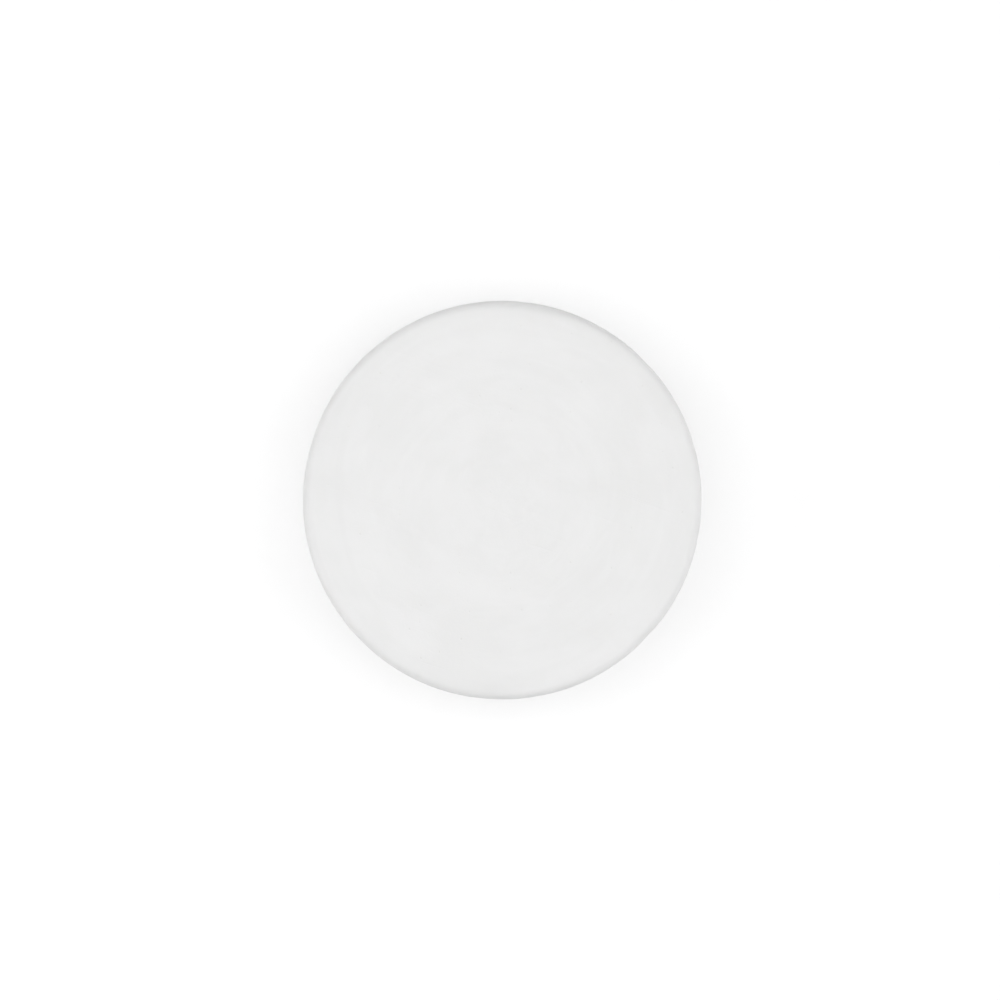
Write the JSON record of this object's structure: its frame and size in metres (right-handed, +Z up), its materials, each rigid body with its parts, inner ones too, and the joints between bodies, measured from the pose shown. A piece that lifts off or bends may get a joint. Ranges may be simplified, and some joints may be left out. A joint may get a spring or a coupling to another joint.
{
  "type": "shaving soap puck",
  "caption": "Plain round puck of hard white shaving soap with flat faces, softly rounded edges and a faint pressing line around its side.",
  "frame": {"origin": "centre of the face that the puck lies on", "axes": "+Z up along the puck's axis, out of the lathering face; the puck is a solid of revolution, so +X and +Y are any two square directions in the face it lies on"},
  "size_m": [0.06, 0.06, 0.022],
  "materials": {
    "soap": "satin"
  },
  "bodies": {
    "root": {"soap_puck": "soap"}
  },
  "joints": []
}
